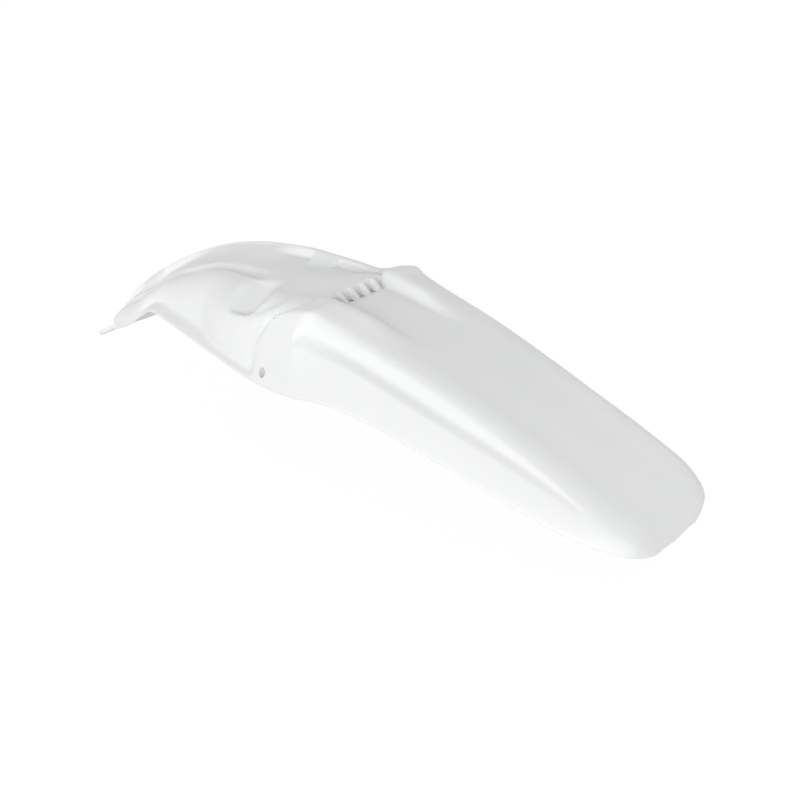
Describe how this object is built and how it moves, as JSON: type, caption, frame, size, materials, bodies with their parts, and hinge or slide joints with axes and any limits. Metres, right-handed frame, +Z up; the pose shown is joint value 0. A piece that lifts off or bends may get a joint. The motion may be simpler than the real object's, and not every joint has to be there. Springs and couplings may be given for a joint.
{
  "type": "motorcycle rear fender",
  "caption": "Moulded rear fender for an off-road motorcycle: arched front section with side flanges and mounting tongue, grooved side panels and long rounded tail.",
  "frame": {"origin": "centre of the bolt hole in the front mounting tongue", "axes": "+X rearwards along the tail, +Y to the rider's right, +Z up, level with the flanges under the front section"},
  "size_m": [0.6222, 0.182, 0.135],
  "materials": {
    "white_plastic": "moulded satin gloss"
  },
  "bodies": {
    "root": {"fender": "white_plastic"}
  },
  "joints": []
}
